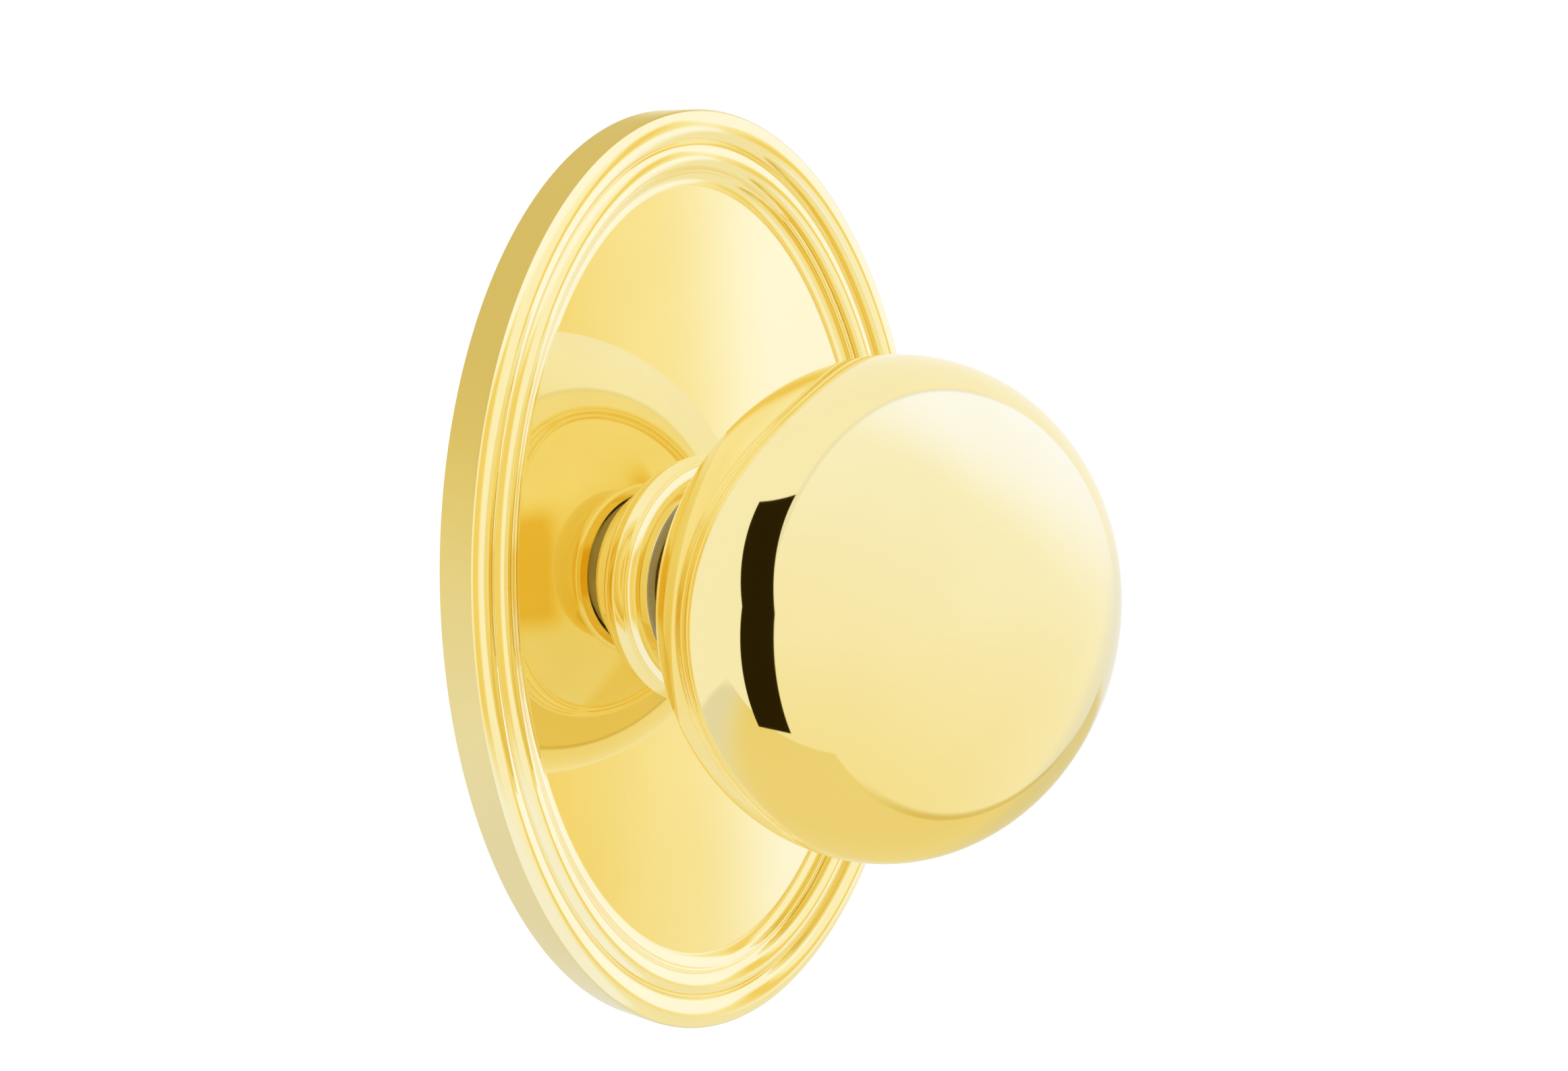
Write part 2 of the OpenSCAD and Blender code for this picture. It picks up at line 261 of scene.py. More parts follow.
def rosette_plate():
    """The pressed plate: moulding and panel as one sweep round the oval, closed at the back."""
    stations = [math.tau * k / 720 for k in range(720)]
    front = moulding_path()
    back = line((rim_wall, 0), (rim_wall, panel_back)) + [(cove[0] + 1.2, panel_back)]
    bm = bmesh.new()
    rings = []

    def hole_ring(out, r):
        points = [oval_point(t, cove[0]) for t in stations]
        rings.append([bm.verts.new(place(x * r / math.hypot(x, z), out, z * r / math.hypot(x, z)))
                      for x, z in points])

    hole_ring(panel_back, collar_hole_r)
    hole_ring(panel_out, collar_hole_r)
    hole_ring(panel_out, collar_r + 0.5)
    for inset, out in front + back:
        rings.append([bm.verts.new(place(x, out, z))
                      for x, z in (oval_point(t, inset) for t in stations)])
    skin_rings(bm, rings, closed=True)
    return mesh_object("rosette_plate_finished", bm)


def rosette_collar():
    """The raised collar, rounded over to its front, with a spigot down into the plate."""
    top_r = collar_r - collar_draft
    shoulder = collar_top - collar_round
    parts = [
        line((collar_bore_r, panel_back), (collar_hole_r - 0.05, panel_back)),
        line((collar_hole_r - 0.05, panel_back), (collar_hole_r - 0.05, panel_out)),
        line((collar_hole_r - 0.05, panel_out), (collar_r, panel_out)),
        line((collar_r, panel_out), (top_r, shoulder)),
        arc(top_r - collar_round, shoulder, collar_round, 0, 90, 24),
        line((top_r - collar_round, collar_top), (collar_bore_r, collar_top)),
        line((collar_bore_r, collar_top), (collar_bore_r, panel_back)),
    ]
    return turned("rosette_collar_finished", join_round(parts, 0.08))


# ---- knob -----------------------------------------------------------------------------------

def ball_path(r, depth, start, end, steps):
    """Half-ellipse profile: 0 degrees is its tip on the axis and 90 its widest circle."""
    angles = [math.radians(start + (end - start) * i / steps) for i in range(steps + 1)]
    return [(r * math.sin(a), ball_mid + depth * math.cos(a)) for a in angles]


def knob_front():
    depth = ball_tip - ball_mid
    outer = ball_path(ball_r, depth, 0, 90, 128)
    inner = ball_path(ball_r - skin, depth - skin, 90, 0, 48)
    outer[0], inner[-1] = (0, ball_tip), (0, ball_tip - skin)
    outer[-1:] = [(ball_r, ball_mid + FINE), (ball_r, ball_mid)]
    return turned("knob_ball_front", outer + inner, turns=384)


def knob_rear():
    neck_angle = 180 - math.degrees(math.acos((ball_mid - neck_top) / ball_rear_depth))
    outer = ball_path(ball_r, ball_rear_depth, 90, neck_angle, 128)
    outer[:1] = [(ball_r, ball_mid), (ball_r, ball_mid - FINE)]
    hole_r = 8.05
    inner_r, inner_depth = ball_r - skin, ball_rear_depth - skin
    inner_angle = 180 - math.degrees(math.asin(hole_r / inner_r))
    inner = ball_path(inner_r, inner_depth, inner_angle, 90, 48)
    return turned("knob_ball_rear", outer + line(outer[-1], (hole_r, neck_top))[1:] + inner, turns=384)


def knob_neck():
    """The shank: journal, groove for the retaining ring, neck and the spigot inside the ball."""
    bore_r = 5.75
    journal_r, groove_r, spigot_r = 9.5, 8.7, 8.0
    groove_low, groove_high = -2.45, -1.35
    back, top = shank_low[1], shank_high[1]
    parts = [
        line((bore_r, back), (journal_r, back)),
        line((journal_r, back), (journal_r, groove_low)),
        line((journal_r, groove_low), (groove_r, groove_low)),
        line((groove_r, groove_low), (groove_r, groove_high)),
        line((groove_r, groove_high), (journal_r, groove_high)),
        line((journal_r, groove_high), (journal_r, neck_shoulder)),
        line((journal_r, neck_shoulder), (neck_r, neck_shoulder)),
        line((neck_r, neck_shoulder), (neck_r, neck_top)),
        line((neck_r, neck_top), (spigot_r, neck_top)),
        line((spigot_r, neck_top), (spigot_r, top)),
        line((spigot_r, top), (bore_r, top)),
        line((bore_r, top), (bore_r, back)),
    ]
    return turned("knob_neck", join_round(parts, 0.12))


# ---- hidden side ----------------------------------------------------------------------------

def cross_recess(x, z, reach, arm):
    """Outline of a cross-shaped driver recess."""
    a, r = arm / 2, reach
    corners = [(a, a), (r, a), (r, -a), (a, -a), (a, -r), (-a, -r),
               (-a, -a), (-r, -a), (-r, a), (-a, a), (-a, r), (a, r)]
    return [(x + u, z + v) for u, v in corners]


def node_centres(node):
    """Centres (x, z) of the separate solids that one node holds, one in each quadrant or side."""
    x1, _, z1 = corners_mm(node)[1]
    solids_r = {"plate_screws": 2.35, "housing_screws": 2.7}[node]
    x, z = x1 - solids_r, z1 - solids_r
    return [(sx * x, sz * z) for sx in (-1, 1) for sz in ((-1, 1) if z > 1 else (0,))]


def mounting_plate():
    """Zinc-plated steel plate with its holes, and the shallow seat for the spring housing."""
    inset = half_w - steel_high[0]
    outline = [oval_point(math.tau * k / 360, inset) for k in range(360)]
    posts = [circle(0, s * (post_high[2] + post_low[2]) / 2, 2.5, 48) for s in (-1, 1)]
    ears = [circle(s * (ear_screw_high[0] - 2.7), 0, 1.5, 48) for s in (-1, 1)]
    screws = [circle(x, z, 2.42, 48) for x, z in node_centres("plate_screws")]
    seat = circle(0, 0, 24.5, 180)
    bore = circle(0, 0, 11.9)
    bm = bmesh.new()
    add_sheet(bm, outline, [seat, *screws], 0, 0.4, 0.1)
    add_sheet(bm, outline, [bore, *posts, *ears, *screws], 0.2, steel_high[1], 0.1)
    return mesh_object("mounting_plate_finished", bm)


def threaded_post(name, low, high):
    """A post with a chamfered end and a cut thread in its bore."""
    centre = (0, (low[2] + high[2]) / 2)
    back, r, bore = low[1], (high[2] - low[2]) / 2, 1.85
    pitch, depth = 0.79, 0.3
    thread = []
    for i in range(16):
        start = back + 0.5 + i * pitch
        thread += [(bore, start), (bore + depth, start + pitch / 2)]
    parts = [
        line((bore + 0.4, back), (r - 0.5, back)),
        line((r - 0.5, back), (r, back + 0.5)),
        line((r, back + 0.5), (r, 0.15)),
        line((r, 0.15), (2.45, 0.15)),
        line((2.45, 0.15), (2.45, high[1])),
        line((2.45, high[1]), (0, high[1])),
    ]
    bore_end = back + 0.5 + 16 * pitch
    inner = [(0, bore_end + 0.8), (bore, bore_end)] + thread[::-1]
    outer = join_round(parts, 0.08)
    bm = bmesh.new()
    add_turned(bm, inner + outer, centre, 96)
    return mesh_object(name, bm)


def spring_housing():
    """Die-cast cup with rounded edges, a raised ring, ejector marks and two screw ears."""
    r, back, bore = 15.5, housing_low[1], 8.5
    wall = 1.6
    parts = [
        line((bore, back), (10.2, back)),
        line((10.2, back), (10.2, back + 0.35)),
        line((10.2, back + 0.35), (11.6, back + 0.35)),
        line((11.6, back + 0.35), (11.6, back)),
        line((11.6, back), (r - 1.0, back)),
        arc(r - 1.0, back + 1.0, 1.0, -90, 0, 12),
        line((r, back + 1.0), (r, housing_high[1])),
        line((r, housing_high[1]), (r - wall, housing_high[1])),
        line((r - wall, housing_high[1]), (r - wall, back + wall)),
        line((r - wall, back + wall), (bore, back + wall)),
        line((bore, back + wall), (bore, back)),
    ]
    ear_x, ear_r, ear_t = housing_high[0] - 3.5, 3.5, 2.0
    bm = bmesh.new()
    add_turned(bm, join_round(parts, 0.12))
    for s in (-1, 1):
        tip = [(s * ear_x + s * ear_r * math.cos(a), ear_r * math.sin(a))
               for a in (math.radians(-90 + 180 * i / 32) for i in range(33))]
        root = [(s * (r - 1.2), 6.2), (s * (r - 1.2), -6.2)]
        hole = circle(s * ear_x, 0, 1.55, 48)
        add_sheet(bm, tip + root, [hole], -ear_t, 0.2, 0.3)
        for angle in (35, 145):
            a = math.radians(angle * s)
            mark = (13.2 * math.cos(a), 13.2 * math.sin(a))
            add_turned(bm, [(0, back + 0.1), (0.9, back + 0.1), (0.9, back + 0.02),
                            (1.05, back + 0.02), (1.05, back + 0.3), (0, back + 0.3)], mark, 32)
    return mesh_object("spring_housing_finished", bm)


def screw_heads(name, node, head_r, flat_r, head_out, seat_out, tip_out, thread_r):
    """Screws seen from behind the plate: a head with a cross recess on a threaded shank."""
    bm = bmesh.new()
    slot_depth = 0.55
    for x, z in node_centres(node):
        slot = cross_recess(x, z, head_r * 0.55, head_r * 0.26)
        add_sheet(bm, circle(x, z, flat_r, 64), [slot], head_out, head_out + slot_depth, 0.08)
        shank = [(0, head_out + slot_depth - 0.05), (flat_r, head_out + slot_depth - 0.05),
                 (head_r if head_out < -1 else thread_r, seat_out), (thread_r, seat_out)]
        pitch = 0.5
        turns = int((tip_out - seat_out - 0.4) / pitch)
        for i in range(turns):
            shank += [(thread_r, seat_out + 0.1 + i * pitch),
                      (thread_r * 0.8, seat_out + 0.1 + (i + 0.5) * pitch)]
        shank += [(thread_r * 0.7, tip_out), (0, tip_out)]
        add_turned(bm, shank, (x, z), 48)
    return mesh_object(name, bm, math.radians(30))


def rear_bush():
    """Nylon bush in the housing's bore, with a thin rounded flange."""
    flange_r = bush_high[0]
    flange_out = bush_low[1]
    bore = 6.95
    parts = [
        line((bore, flange_out), (flange_r, flange_out)),
        line((flange_r, flange_out), (flange_r, housing_low[1])),
        line((flange_r, housing_low[1]), (8.45, housing_low[1])),
        line((8.45, housing_low[1]), (8.45, bush_high[1])),
        line((8.45, bush_high[1]), (bore, bush_high[1])),
        line((bore, bush_high[1]), (bore, flange_out)),
    ]
    return turned("rear_bush_finished", join_round(parts, 0.14), turns=128)


def spindle():
    """Square drawn bar with rounded corners and a chamfered end."""
    half, back, top = spindle_high[0], spindle_low[1], spindle_high[1]
    corner_r = 0.9
    chamfer = 0.8

    def section(out, inset):
        h = half - inset
        points = []
        for quarter in range(4):
            a0 = quarter * 90
            sx, sz = [(1, 1), (-1, 1), (-1, -1), (1, -1)][quarter]
            points += arc(sx * (h - corner_r), sz * (h - corner_r), corner_r, a0, a0 + 90, 8)
        return [bm.verts.new(place(x, out, z)) for x, z in points]

    bm = bmesh.new()
    levels = [(back, chamfer), (back + chamfer * 0.5, chamfer * 0.35), (back + chamfer * 1.2, 0),
              (back + chamfer * 1.5, 0), (top - 0.6, 0), (top, 0.5)]
    rings = [section(*level) for level in levels]
    skin_rings(bm, rings, closed=False)
    bm.faces.new(rings[0])
    bm.faces.new(rings[-1])
    return mesh_object("spindle_bar", bm, math.radians(25))


# ---- materials ------------------------------------------------------------------------------

def shader_tree(name):
    """New material with a Principled shader: (material, tree, shader)."""
    material = bpy.data.materials.new(name)
    material.use_nodes = True
    tree = material.node_tree
    return material, tree, tree.nodes["Principled BSDF"]


def noise(tree, scale, detail=3.0, stretch=(1, 1, 1)):
    """Noise value in object space, where scale counts patches per metre."""
    coords = tree.nodes.new("ShaderNodeTexCoord")
    mapping = tree.nodes.new("ShaderNodeMapping")
    mapping.inputs["Scale"].default_value = stretch
    texture = tree.nodes.new("ShaderNodeTexNoise")
    texture.inputs["Scale"].default_value = scale
    texture.inputs["Detail"].default_value = detail
    tree.links.new(coords.outputs["Object"], mapping.inputs["Vector"])
    tree.links.new(mapping.outputs["Vector"], texture.inputs["Vector"])
    return texture.outputs["Fac"]


def ramp(tree, value, stops):
    """Colour ramp with (position, colour) stops."""
    node = tree.nodes.new("ShaderNodeValToRGB")
    elements = node.color_ramp.elements
    elements[0].position, elements[1].position = stops[0][0], stops[-1][0]
    elements[0].color, elements[1].color = (*stops[0][1], 1), (*stops[-1][1], 1)
    for position, colour in stops[1:-1]:
        elements.new(position).color = (*colour, 1)
    tree.links.new(value, node.inputs["Fac"])
    return node.outputs["Color"]


def spread(tree, value, low, high):
    """Maps a noise value from about 0.3..0.7 to a range."""
    node = tree.nodes.new("ShaderNodeMapRange")
    node.inputs["From Min"].default_value = 0.3
    node.inputs["From Max"].default_value = 0.7
    node.inputs["To Min"].default_value = low
    node.inputs["To Max"].default_value = high
    tree.links.new(value, node.inputs["Value"])
    return node.outputs["Result"]


def bump(tree, value, depth):
    """Bump whose full height is depth, in metres."""
    node = tree.nodes.new("ShaderNodeBump")
    node.inputs["Strength"].default_value = 1.0
    node.inputs["Distance"].default_value = depth
    tree.links.new(value, node.inputs["Height"])
    return node.outputs["Normal"]


def metal(name, dark, light, rough, patch, grain, depth, stretch=(1, 1, 1)):
    """A metal with patchy tone and gloss and a fine grain."""
    material, tree, shader = shader_tree(name)
    patches = noise(tree, patch, 4.0)
    grains = noise(tree, grain, 2.0, stretch)
    shader.inputs["Metallic"].default_value = 1.0
    tree.links.new(ramp(tree, patches, [(0.35, dark), (0.65, light)]), shader.inputs["Base Color"])
    tree.links.new(spread(tree, patches, *rough), shader.inputs["Roughness"])
    tree.links.new(bump(tree, grains, depth), shader.inputs["Normal"])
    return material, shader


def polished_brass():
    """Mirror-polished brass under clear lacquer."""
    material, shader = metal("polished_brass", (0.94, 0.83, 0.455), (0.955, 0.85, 0.48),
                             (0.022, 0.05), 70, 260, 4e-7)
    shader.inputs["Coat Weight"].default_value = 0.25
    shader.inputs["Coat Roughness"].default_value = 0.03
    shader.inputs["Coat IOR"].default_value = 1.48
    return material


def turned_brass():
    """Unlacquered brass straight from the lathe."""
    return metal("turned_brass", (0.80, 0.62, 0.27), (0.90, 0.74, 0.36), (0.16, 0.30),
                 300, 900, 4e-6, (0.2, 9, 0.2))[0]


def plated_steel():
    """Bright zinc plating, slightly blue and cloudy."""
    return metal("plated_steel", (0.64, 0.67, 0.70), (0.74, 0.76, 0.79), (0.20, 0.30),
                 90, 1400, 5e-6)[0]


def screw_steel():
    return metal("screw_steel", (0.52, 0.53, 0.55), (0.70, 0.71, 0.73), (0.16, 0.28),
                 500, 2600, 4e-6)[0]


def spring_steel():
    return metal("spring_steel", (0.20, 0.20, 0.21), (0.33, 0.33, 0.35), (0.24, 0.38),
                 400, 2600, 5e-6)[0]


def zinc_casting():
    """Tumbled die-cast zinc: matt, grainy and uneven."""
    return metal("zinc_casting", (0.40, 0.41, 0.42), (0.55, 0.56, 0.57), (0.38, 0.55),
                 220, 2200, 2.2e-5)[0]


def nylon(name, dark, light):
    """Moulded nylon with a fine texture and a little light inside."""
    material, tree, shader = shader_tree(name)
    patches = noise(tree, 300, 3.0)
    tree.links.new(ramp(tree, patches, [(0.35, dark), (0.65, light)]), shader.inputs["Base Color"])
    tree.links.new(spread(tree, patches, 0.38, 0.52), shader.inputs["Roughness"])
    tree.links.new(bump(tree, noise(tree, 2400, 2.0), 6e-6), shader.inputs["Normal"])
    shader.inputs["Subsurface Weight"].default_value = 0.15
    shader.inputs["Subsurface Scale"].default_value = 0.001
    return material


FINISHES = {
    "polished_brass": polished_brass(),
    "turned_brass": turned_brass(),
    "plated_steel": plated_steel(),
    "screw_steel": screw_steel(),
    "spring_steel": spring_steel(),
    "zinc_casting": zinc_casting(),
    "white_nylon": nylon("white_nylon", (0.74, 0.72, 0.66), (0.82, 0.80, 0.75)),
}


# ---- the object -----------------------------------------------------------------------------

def finish_piece(obj, body, slot, finish, *nodes):
    """Gives a piece its body and its finish, and hides the CAD nodes that it stands for. Its slot is not
    used.
    """
    obj.data.materials.clear()
    obj.data.materials.append(FINISHES[finish])
    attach(obj, body)
    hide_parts(*nodes)
    return obj


finish_piece(rosette_plate(), "rosette", "polished_brass", "polished_brass", "rosette_plate")
finish_piece(rosette_collar(), "rosette", "polished_brass", "polished_brass", "rosette_collar")
ball_front = finish_piece(knob_front(), "knob", "polished_brass", "polished_brass", "knob_front_shell")
ball_rear = finish_piece(knob_rear(), "knob", "polished_brass", "polished_brass", "knob_rear_shell")
finish_piece(knob_neck(), "knob", "polished_brass", "polished_brass", "knob_shank")
finish_piece(mounting_plate(), "rosette", "plated_steel", "plated_steel", "mounting_plate")
finish_piece(threaded_post("upper_post_finished", post_low, post_high),
             "rosette", "plated_steel", "plated_steel", "upper_post")
finish_piece(threaded_post("lower_post_finished", *corners_mm("lower_post")),
             "rosette", "plated_steel", "plated_steel", "lower_post")
finish_piece(spring_housing(), "rosette", "zinc_alloy", "zinc_casting", "spring_housing")
finish_piece(screw_heads("housing_screws_finished", "housing_screws", 2.7, 2.45,
                         ear_screw_low[1], -2.0, ear_screw_high[1], 1.45),
             "rosette", "screw_steel", "screw_steel", "housing_screws")
finish_piece(screw_heads("plate_screws_finished", "plate_screws", 2.35, 2.3,
                         plate_screw_low[1], 1.2, plate_screw_high[1], 1.2),
             "rosette", "screw_steel", "screw_steel", "plate_screws")
finish_piece(rear_bush(), "rosette", "nylon", "white_nylon", "rear_bush")
finish_piece(spindle(), "knob", "plated_steel", "plated_steel", "spindle")

CARRIED_OVER = {
    "neck_bush": "white_nylon",
    "return_spring": "spring_steel",
    "seam_ring": "turned_brass",
    "knob_core": "zinc_casting",
    "lock_washer": "spring_steel",
    "shank_nut": "plated_steel",
    "thrust_washer": "white_nylon",
    "play_washer": "plated_steel",
    "retaining_ring": "spring_steel",
    "spindle_pin": "spring_steel",
    "drive_cam": "screw_steel",
}
for node, finish in CARRIED_OVER.items():
    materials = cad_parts[node].data.materials
    materials.clear()
    materials.append(FINISHES[finish])


# ---- camera ---------------------------------------------------------------------------------

def look(azimuth, elevation, roll, distance, aside, above, lens):
    """Camera that looks at the origin from an angle, then slides aside and above, in metres."""
    a, e, r = (math.radians(x) for x in (azimuth, elevation, roll))
    back = Vector((math.sin(a) * math.cos(e), -math.cos(a) * math.cos(e), math.sin(e)))
    level = Vector((0, 0, 1)).cross(back).normalized()
    upright = back.cross(level)
    right = level * math.cos(r) + upright * math.sin(r)
    up = upright * math.cos(r) - level * math.sin(r)
    camera = bpy.data.objects.new("camera", bpy.data.cameras.new("camera"))
    camera.data.lens = lens
    camera.data.sensor_width = 36
    camera.data.clip_start = 0.01
    turn = Matrix((right, up, back)).transposed()
    camera.matrix_world = Matrix.Translation(back * distance + right * aside + up * above) @ turn.to_4x4()
    bpy.context.scene.collection.objects.link(camera)
    bpy.context.scene.camera = camera


look(azimuth=-46.47, elevation=11.33, roll=-2.71, distance=0.29067, aside=0.01183, above=0.00491,
     lens=54.8)


# ---- stage ----------------------------------------------------------------------------------

CARD_LEAN_FROM = 8.0           # elevation above which the black card leans back, degrees
CARD_LEFT = (-114.0, 0.56)     # azimuth of its left side, and lean per degree above that
CARD_RIGHT = (-91.0, 0.31)     # the same for its right side
CARD_TOP = (101.0, 0.433)      # elevation of its top at azimuth 0, and slope per degree
CARD_BOTTOM = (-57.4, -0.18)   # the same for its bottom
TABLE_FRONT = (-0.228, 0.176)  # front edge of the table at x = 0, and its slant, in drops
TABLE_LEFT = (-1.02, 0.78)     # left edge at y = 0, and its slant, in drops


def feed(tree, socket, value):
    """Gives a socket a number, or links an output to it."""
    if isinstance(value, (int, float)):
        socket.default_value = value
    else:
        tree.links.new(value, socket)


def calc(tree, operation, a, b=0.0):
    """Output of a Math node, whose inputs are numbers or other outputs."""
    node = tree.nodes.new("ShaderNodeMath")
    node.operation = operation
    feed(tree, node.inputs[0], a)
    feed(tree, node.inputs[1], b)
    return node.outputs[0]


def fade(tree, value, start, end, low=0.0, high=1.0):
    """Smooth change from low to high as a value goes from start to end."""
    node = tree.nodes.new("ShaderNodeMapRange")
    node.interpolation_type = "SMOOTHSTEP"
    for name, number in (("From Min", start), ("From Max", end), ("To Min", low), ("To Max", high)):
        node.inputs[name].default_value = number
    tree.links.new(value, node.inputs["Value"])
    return node.outputs["Result"]


def heading(azimuth, elevation):
    """Unit vector of a direction, where azimuth 0 is out of the door and 90 is +X."""
    a, e = math.radians(azimuth), math.radians(elevation)
    return Vector((math.sin(a) * math.cos(e), -math.cos(a) * math.cos(e), math.sin(e)))


def near(tree, vector, azimuth, elevation, inner, outer):
    """1 within an angle of a heading, fading to 0 at a wider angle."""
    node = tree.nodes.new("ShaderNodeVectorMath")
    node.operation = "DOT_PRODUCT"
    node.inputs[1].default_value = heading(azimuth, elevation)
    tree.links.new(vector, node.inputs[0])
    wide, narrow = math.cos(math.radians(outer)), math.cos(math.radians(inner))
    return fade(tree, node.outputs["Value"], wide, narrow)


def total(tree, *terms):
    """Sum of numbers and outputs."""
    result = terms[0]
    for term in terms[1:]:
        result = calc(tree, "ADD", result, term)
    return result


def scaled(tree, value, *factors):
    """value times each of the factors."""
    for factor in factors:
        value = calc(tree, "MULTIPLY", value, factor)
    return value


def blend_to(tree, value, other, share):
    """value, turning into other as share goes from 0 to 1."""
    return total(tree, value, scaled(tree, calc(tree, "SUBTRACT", other, value), share))


def warm_table(tree, x, y, z):
    """Table top below the ball: its share of the view, the seam along its front, and how far back.

    Lengths on the table count in drops, the height of the ball's centre above it.
    """
    drop = calc(tree, "MAXIMUM", scaled(tree, z, -1.0), 0.01)
    across = calc(tree, "DIVIDE", x, drop)
    back = calc(tree, "DIVIDE", y, drop)
    front_line = total(tree, TABLE_FRONT[0], scaled(tree, across, TABLE_FRONT[1]))
    past_front = calc(tree, "SUBTRACT", back, front_line)
    past_left = total(tree, across, scaled(tree, back, TABLE_LEFT[1]), -TABLE_LEFT[0])
    share = scaled(tree, fade(tree, past_front, 0.0, 0.03), fade(tree, past_left, 0.0, 0.04),
                   fade(tree, back, 1.95, 1.75), fade(tree, across, 2.6, 2.2),
                   fade(tree, z, -0.3, -0.4))
    seam = scaled(tree, fade(tree, past_front, -0.06, 0.0), fade(tree, past_front, 0.05, 0.0),
                  fade(tree, across, -0.5, 0.3), fade(tree, across, 2.0, 1.2))
    return share, seam, back


def knob_light(tree, vector, x, y, z):
    """Round the ball: a white tent in front, brighter at the upper right, over a warm table."""
    above, below = calc(tree, "MAXIMUM", z, 0.0), calc(tree, "MINIMUM", z, 0.0)
    upper_right = near(tree, vector, 90, 38, 12, 55)
    low_right = near(tree, vector, 103, -28, 4, 26)
    table, table_seam, back = warm_table(tree, x, y, z)
    tent_seam = scaled(tree, fade(tree, y, 0.09, 0.12), fade(tree, y, 0.16, 0.12),
                       fade(tree, z, 0.3, 0.6))
    front = total(tree, 0.90, scaled(tree, x, 0.10), scaled(tree, above, 0.15),
                  scaled(tree, below, 0.34), scaled(tree, upper_right, 0.5))
    level = blend_to(tree, front, 0.88, fade(tree, y, 0.11, 0.14))
    level = blend_to(tree, level, fade(tree, back, 0.7, 1.5, 0.36, 0.85), table)
    level = total(tree, level, scaled(tree, low_right, 0.12), scaled(tree, table_seam, -0.32))
    table_dimming = scaled(tree, table, fade(tree, back, 0.7, 1.5, -0.05, -0.17))
    strength = total(tree, 1.0, scaled(tree, low_right, -0.14), table_dimming,
                     scaled(tree, tent_seam, -0.10), scaled(tree, table_seam, -0.18))
    return level, strength


def flagged_knob_light(tree, vector, x, y, z):
    """The ball's light with a narrow black card on the left, which leans back at its top."""
    level, strength = knob_light(tree, vector, x, y, z)
    azimuth = scaled(tree, calc(tree, "ARCTAN2", x, scaled(tree, y, -1.0)), math.degrees(1))
    elevation = scaled(tree, calc(tree, "ARCSINE", z), math.degrees(1))
    raised = calc(tree, "MAXIMUM", total(tree, elevation, -CARD_LEAN_FROM), 0.0)
    left, right = (total(tree, azimuth, -at, scaled(tree, raised, lean))
                   for at, lean in (CARD_LEFT, CARD_RIGHT))
    top, bottom = (total(tree, elevation, -at, scaled(tree, azimuth, -slope))
                   for at, slope in (CARD_TOP, CARD_BOTTOM))
    card = scaled(tree, fade(tree, left, -0.3, 0.3), fade(tree, right, 0.3, -0.3),
                  fade(tree, top, 0.3, -0.3), fade(tree, bottom, -0.3, 0.3))
    return blend_to(tree, level, 0.06, card), blend_to(tree, strength, 0.028, card)


def rosette_light(tree, vector, x, y, z):
    """Round the rosette: pale on the right, in the middle and above, dim between, duller behind."""
    slope = calc(tree, "DIVIDE", x, calc(tree, "MAXIMUM", scaled(tree, y, -1.0), 0.01))
    middle = scaled(tree, fade(tree, slope, -0.45, -0.15), fade(tree, slope, 0.72, 0.5))
    front = total(tree, 0.25, scaled(tree, middle, 0.65), fade(tree, slope, -1.8, -3.5, 0.0, 0.6),
                  fade(tree, slope, 0.80, 1.02, 0.0, 0.38), fade(tree, slope, 0.98, 1.10, 0.0, 0.68))
    front = blend_to(tree, front, 1.25, fade(tree, z, 0.35, 0.6))
    low_level = fade(tree, slope, 0.3, 0.6, 1.25, 0.75)
    front = blend_to(tree, front, low_level, fade(tree, z, -0.35, -0.6))
    front_strength = fade(tree, z, -0.25, -0.6, 1.04, 0.97)
    far_right = fade(tree, x, 0.55, 0.85)
    back = blend_to(tree, fade(tree, z, 0.3, -0.65, 0.34, 0.88), 1.0, far_right)
    back_strength = total(tree, 0.86, fade(tree, z, 0.0, 0.5, 0.0, -0.09),
                          fade(tree, z, -0.4, -0.65, 0.0, -0.05), scaled(tree, far_right, 0.15))
    behind = fade(tree, y, 0.0, 0.2)
    return (blend_to(tree, front, back, behind),
            blend_to(tree, front_strength, back_strength, behind))


def hardware_light(tree, vector, x, y, z):
    """Round the steel and zinc parts: two soft boxes, bright above and dim below."""
    level = total(tree, fade(tree, z, -0.6, 0.8, 0.34, 0.92),
                  scaled(tree, near(tree, vector, 150, 38, 16, 30), 0.85),
                  scaled(tree, near(tree, vector, -135, -5, 12, 34), 0.6))
    return level, 1.0


def light_only(source, receivers):
    """Limits a light source to its receivers."""
    group = bpy.data.collections.new(source.name + "_receivers")
    for receiver in receivers:
        group.objects.link(receiver)
    source.light_linking.receiver_collection = group


def link_stage(name, mesh, material):
    mesh.materials.append(material)
    obj = bpy.data.objects.new(name, mesh)
    bpy.context.scene.collection.objects.link(obj)
    obj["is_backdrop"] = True
    return obj


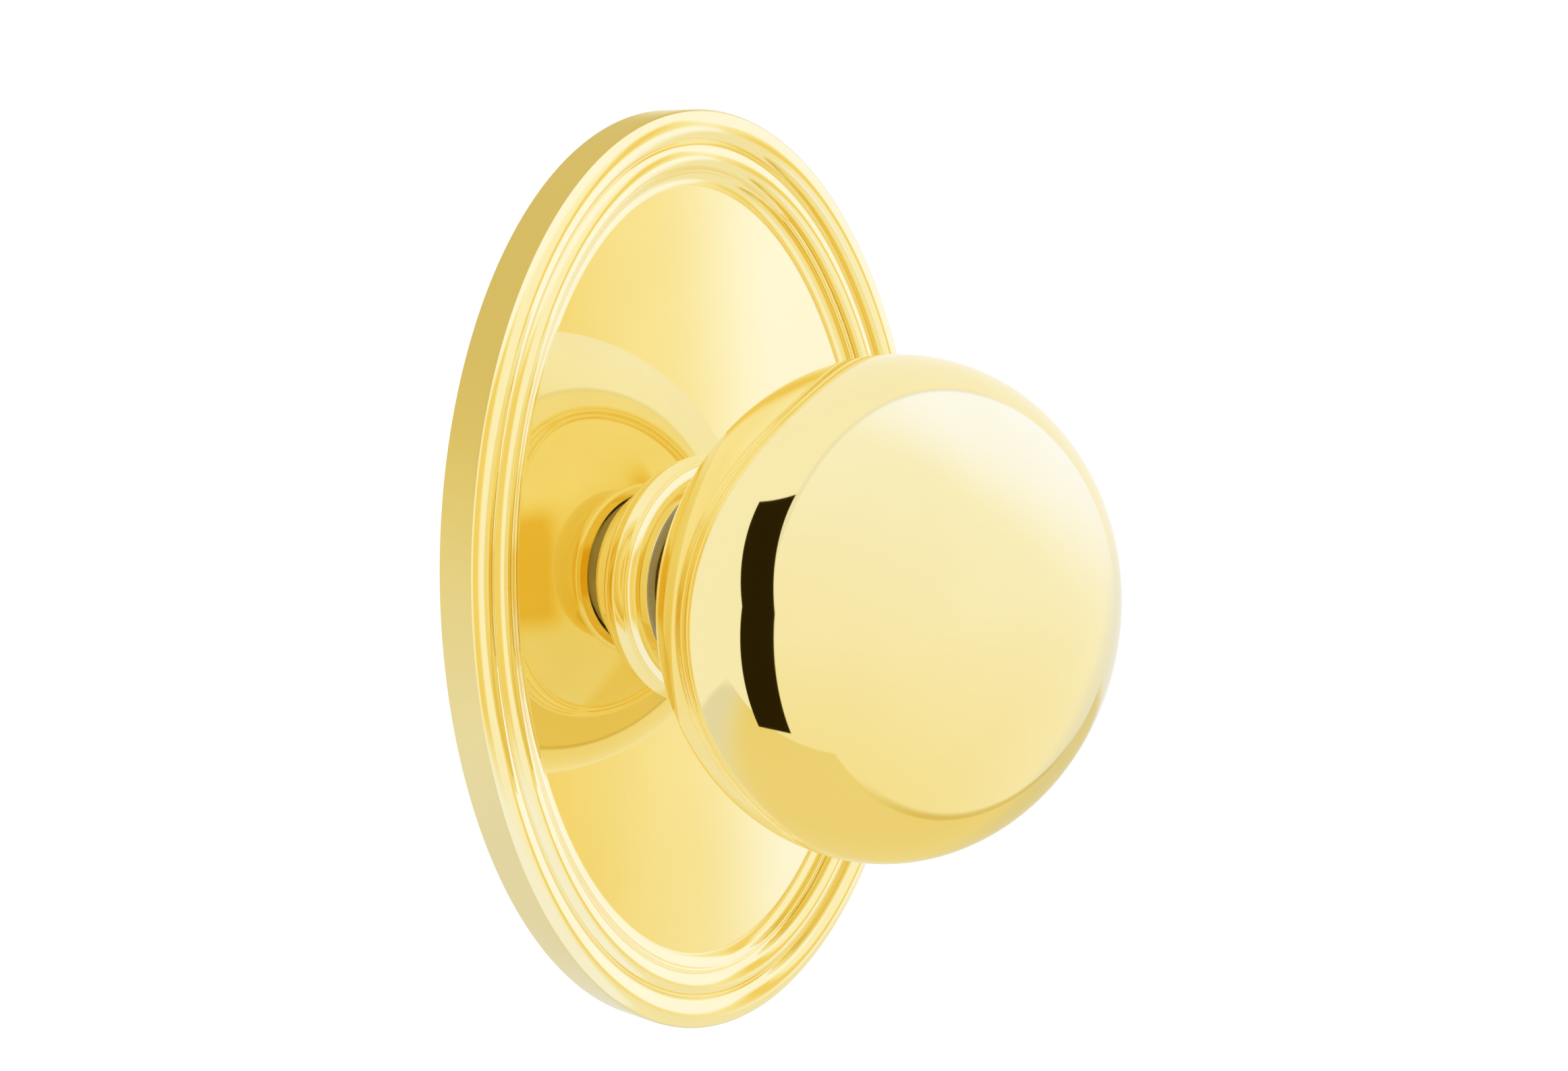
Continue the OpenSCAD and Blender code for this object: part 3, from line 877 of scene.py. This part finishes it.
def tent(name, radius, receivers, level_of, red=0.07, green=0.24):
    """Light tent that only its receivers see, and only as a reflection.

    Its level is its blue, and the smaller powers of it for red and green warm its dim parts.
    """
    material = bpy.data.materials.new(name)
    material.use_nodes = True
    tree = material.node_tree
    tree.nodes.clear()
    coords = tree.nodes.new("ShaderNodeTexCoord")
    unit = tree.nodes.new("ShaderNodeVectorMath")
    unit.operation = "NORMALIZE"
    tree.links.new(coords.outputs["Object"], unit.inputs[0])
    parts = tree.nodes.new("ShaderNodeSeparateXYZ")
    tree.links.new(unit.outputs["Vector"], parts.inputs["Vector"])
    level, strength = level_of(tree, unit.outputs["Vector"], *parts.outputs)
    colour = tree.nodes.new("ShaderNodeCombineColor")
    tree.links.new(calc(tree, "POWER", level, red), colour.inputs[0])
    tree.links.new(calc(tree, "POWER", level, green), colour.inputs[1])
    tree.links.new(level, colour.inputs[2])
    glow = tree.nodes.new("ShaderNodeEmission")
    clear = tree.nodes.new("ShaderNodeBsdfTransparent")
    both = tree.nodes.new("ShaderNodeAddShader")
    output = tree.nodes.new("ShaderNodeOutputMaterial")
    tree.links.new(colour.outputs["Color"], glow.inputs["Color"])
    feed(tree, glow.inputs["Strength"], strength)
    tree.links.new(glow.outputs["Emission"], both.inputs[0])
    tree.links.new(clear.outputs["BSDF"], both.inputs[1])
    tree.links.new(both.outputs["Shader"], output.inputs["Surface"])
    bm = bmesh.new()
    bmesh.ops.create_icosphere(bm, subdivisions=4, radius=radius)
    mesh = bpy.data.meshes.new(name)
    bm.to_mesh(mesh)
    bm.free()
    obj = link_stage(name, mesh, material)
    obj.location = place(0, ball_mid, 0)
    obj.visible_camera = obj.visible_diffuse = obj.visible_shadow = False
    light_only(obj, receivers)


def pale_floor(height, size):
    """Plain pale floor below the object."""
    material, tree, shader = shader_tree("pale_floor")
    shader.inputs["Roughness"].default_value = 0.9
    tones = [(0.3, (0.93, 0.93, 0.93)), (0.7, (0.96, 0.96, 0.96))]
    tree.links.new(ramp(tree, noise(tree, 3, 2.0), tones), shader.inputs["Base Color"])
    shader.inputs["Emission Color"].default_value = (1, 1, 1, 1)
    shader.inputs["Emission Strength"].default_value = 0.14
    mesh = bpy.data.meshes.new("floor")
    mesh.from_pydata([(-size, -size, height), (size, -size, height), (size, size, height),
                      (-size, size, height)], [], [(0, 1, 2, 3)])
    floor = link_stage("floor", mesh, material)
    floor.visible_glossy = False


tent("ball_front_tent", 1.5, [ball_front], flagged_knob_light)
tent("ball_rear_tent", 1.6, [ball_rear], knob_light)
brass = [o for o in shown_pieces() if o.data.materials[0] == FINISHES["polished_brass"]]
tent("rosette_tent", 1.7, [o for o in brass if o not in (ball_front, ball_rear)], rosette_light)
tent("hardware_tent", 1.8, [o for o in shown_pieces() if o not in brass], hardware_light, 1.0, 1.0)
pale_floor(-0.45, 3.0)

world = bpy.data.worlds.new("studio")
world.use_nodes = True
world.node_tree.nodes["Background"].inputs["Color"].default_value = (1, 1, 1, 1)
world.cycles_visibility.glossy = False
bpy.context.scene.world = world
bpy.context.scene.cycles.glossy_bounces = 10
bpy.context.scene.view_settings.view_transform = "Standard"
